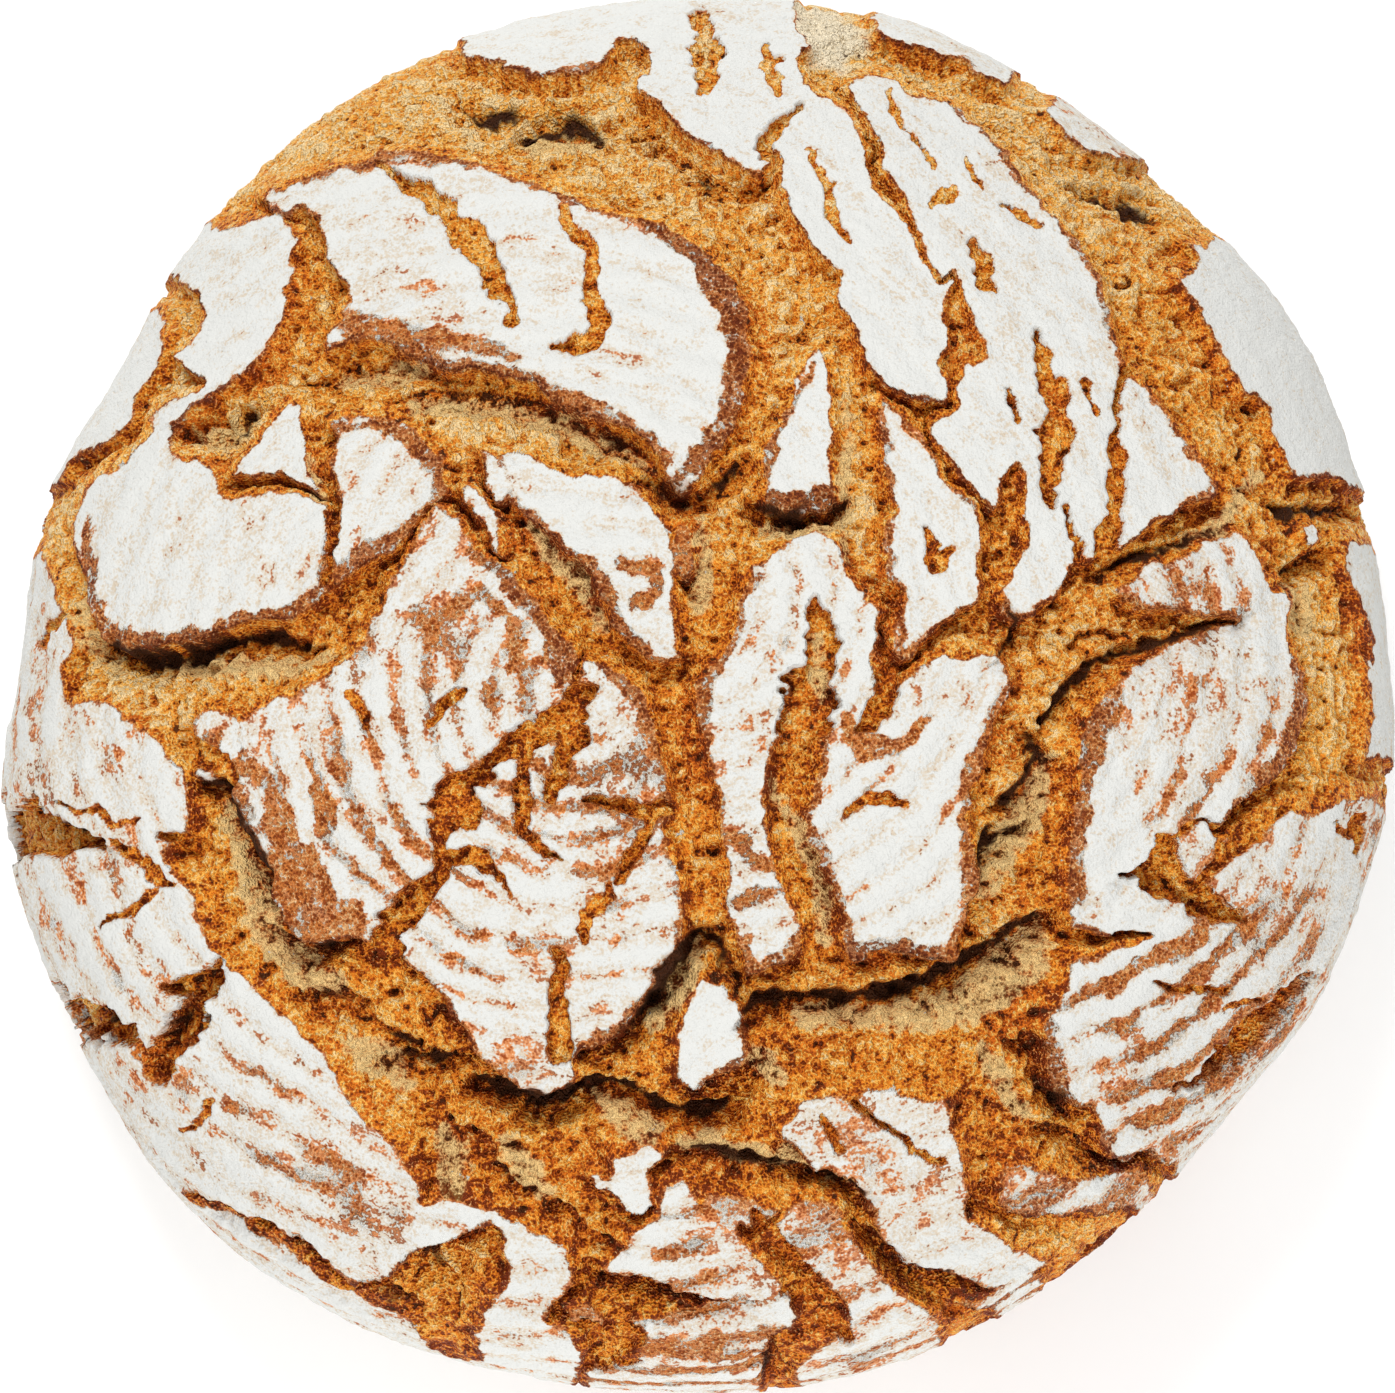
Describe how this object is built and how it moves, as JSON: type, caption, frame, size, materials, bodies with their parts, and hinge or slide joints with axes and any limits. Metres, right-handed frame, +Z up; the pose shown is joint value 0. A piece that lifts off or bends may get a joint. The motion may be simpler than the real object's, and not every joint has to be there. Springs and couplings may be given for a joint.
{
  "type": "farmhouse bread",
  "caption": "Round rustic loaf with a domed crust burst into floured, ring-marked plates over rough torn cracks, on a flat sole",
  "frame": {"origin": "middle of the loaf's bounding box, on the flat sole it rests on", "axes": "+X to the right and +Y away from the viewer in the picture, +Z up out of the sole"},
  "size_m": [0.299, 0.3044, 0.1055],
  "materials": {
    "loaf": "matt baked crust, dusted with white flour on the plates and golden brown in the cracks"
  },
  "bodies": {
    "root": {"loaf": "loaf"}
  },
  "joints": []
}
